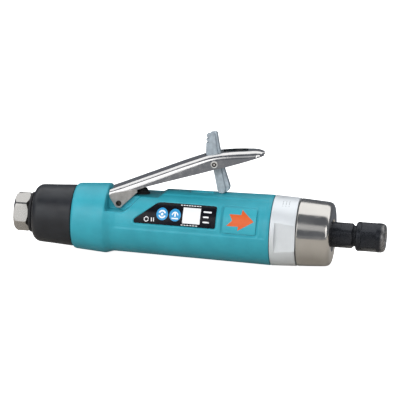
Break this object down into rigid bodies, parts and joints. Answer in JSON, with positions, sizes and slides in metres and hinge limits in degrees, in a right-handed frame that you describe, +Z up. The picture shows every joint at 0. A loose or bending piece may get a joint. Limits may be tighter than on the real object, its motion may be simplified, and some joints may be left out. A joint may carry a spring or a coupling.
{
  "type": "die grinder",
  "caption": "Straight pneumatic die grinder with a teal grip, rear exhaust cover, safety lever with a locking latch, bright nose cap and a quarter-inch collet.",
  "frame": {"origin": "middle of the tool's length and width, at the height of the lowest point of the grip", "axes": "+X forward along the spindle axis to the collet, +Y to the left side, +Z up to the lever"},
  "size_m": [0.204, 0.0384, 0.0722],
  "materials": {
    "grip_plastic": "satin glass-filled nylon",
    "cover_plastic": "satin",
    "label": "printed film",
    "badge": "moulded inlay",
    "aluminium": "satin turned",
    "nickel": "bright nickel",
    "polished_steel": "polished",
    "steel": "ground",
    "motor_iron": "machined",
    "black_oxide": "black oxide",
    "zinc": "die-cast",
    "brass": "machined",
    "seal_rubber": "matte",
    "felt": "pressed felt",
    "composite": "laminated phenolic"
  },
  "bodies": {
    "body": {"inlet_bushing": "nickel", "inlet_o_ring": "seal_rubber", "inlet_screen": "steel", "inlet_gasket": "seal_rubber", "exhaust_cover": "cover_plastic", "muffler_felt": "felt", "grip_housing": "grip_plastic", "label_left": "label", "label_right": "label", "badge_left": "badge", "badge_right": "badge", "valve_bushing": "brass", "plunger_o_ring": "seal_rubber", "valve_seat": "brass", "valve_spring": "steel", "lever_pin": "steel", "rear_end_plate": "motor_iron", "front_end_plate": "motor_iron", "cylinder_liner": "motor_iron", "rear_bearing_outer_race": "steel", "front_bearing_outer_race": "steel", "motor_housing": "aluminium", "nose_cap": "nickel", "nose_seal": "felt", "wave_washer": "steel"},
    "lever": {"throttle_lever": "polished_steel", "latch_rivet": "nickel", "latch_spring": "steel"},
    "latch": {"safety_latch": "zinc"},
    "plunger": {"valve_plunger": "steel", "throttle_valve": "composite"},
    "spindle": {"rotor": "steel", "vane_1": "composite", "vane_2": "composite", "vane_3": "composite", "vane_4": "composite", "vane_5": "composite", "rear_bearing_inner_race": "steel", "front_bearing_inner_race": "steel", "collet_body": "black_oxide"},
    "rear_cage": {"rear_bearing_ball_cage": "brass"},
    "front_cage": {"front_bearing_ball_cage": "brass"},
    "collet": {"collet": "steel"},
    "nut": {"collet_nut": "black_oxide"}
  },
  "joints": [
    {"name": "lever_press", "type": "hinge", "parent": "body", "child": "lever", "pos_m": [-0.0434, 0, 0.0299], "axis": [0, 1, 0], "range_deg": [0, 12.5], "stiffness_Nm_per_rad": 2, "springref_deg": -5.73},
    {"name": "latch_swing", "type": "hinge", "parent": "lever", "child": "latch", "pos_m": [0.0083, 0, 0.055], "axis": [0, 1, 0], "range_deg": [0, 80], "stiffness_Nm_per_rad": 0.01},
    {"name": "plunger_slide", "type": "slide", "parent": "body", "child": "plunger", "axis": [0, 0, -1], "range_m": [0, 0.0032], "deforming": ["valve_spring"]},
    {"name": "spindle_spin", "type": "hinge", "parent": "body", "child": "spindle", "pos_m": [0, 0, 0.0192], "axis": [1, 0, 0], "continuous": true},
    {"name": "rear_cage_spin", "type": "hinge", "parent": "body", "child": "rear_cage", "pos_m": [0, 0, 0.0192], "axis": [1, 0, 0], "continuous": true},
    {"name": "front_cage_spin", "type": "hinge", "parent": "body", "child": "front_cage", "pos_m": [0, 0, 0.0192], "axis": [1, 0, 0], "continuous": true},
    {"name": "collet_slide", "type": "slide", "parent": "spindle", "child": "collet", "axis": [1, 0, 0], "range_m": [0, 0.00159]},
    {"name": "nut_turn", "type": "hinge", "parent": "collet", "child": "nut", "pos_m": [0, 0, 0.0192], "axis": [1, 0, 0], "range_deg": [0, 540]}
  ],
  "couplings": [
    {"joint": "latch_swing", "follows": "lever_press", "ratio": 6.4},
    {"joint": "plunger_slide", "follows": "lever_press", "m_per_rad": 0.01453},
    {"joint": "rear_cage_spin", "follows": "spindle_spin", "ratio": 0.42},
    {"joint": "front_cage_spin", "follows": "spindle_spin", "ratio": 0.42},
    {"joint": "nut_turn", "follows": "collet_slide", "rad_per_m": 5938}
  ]
}
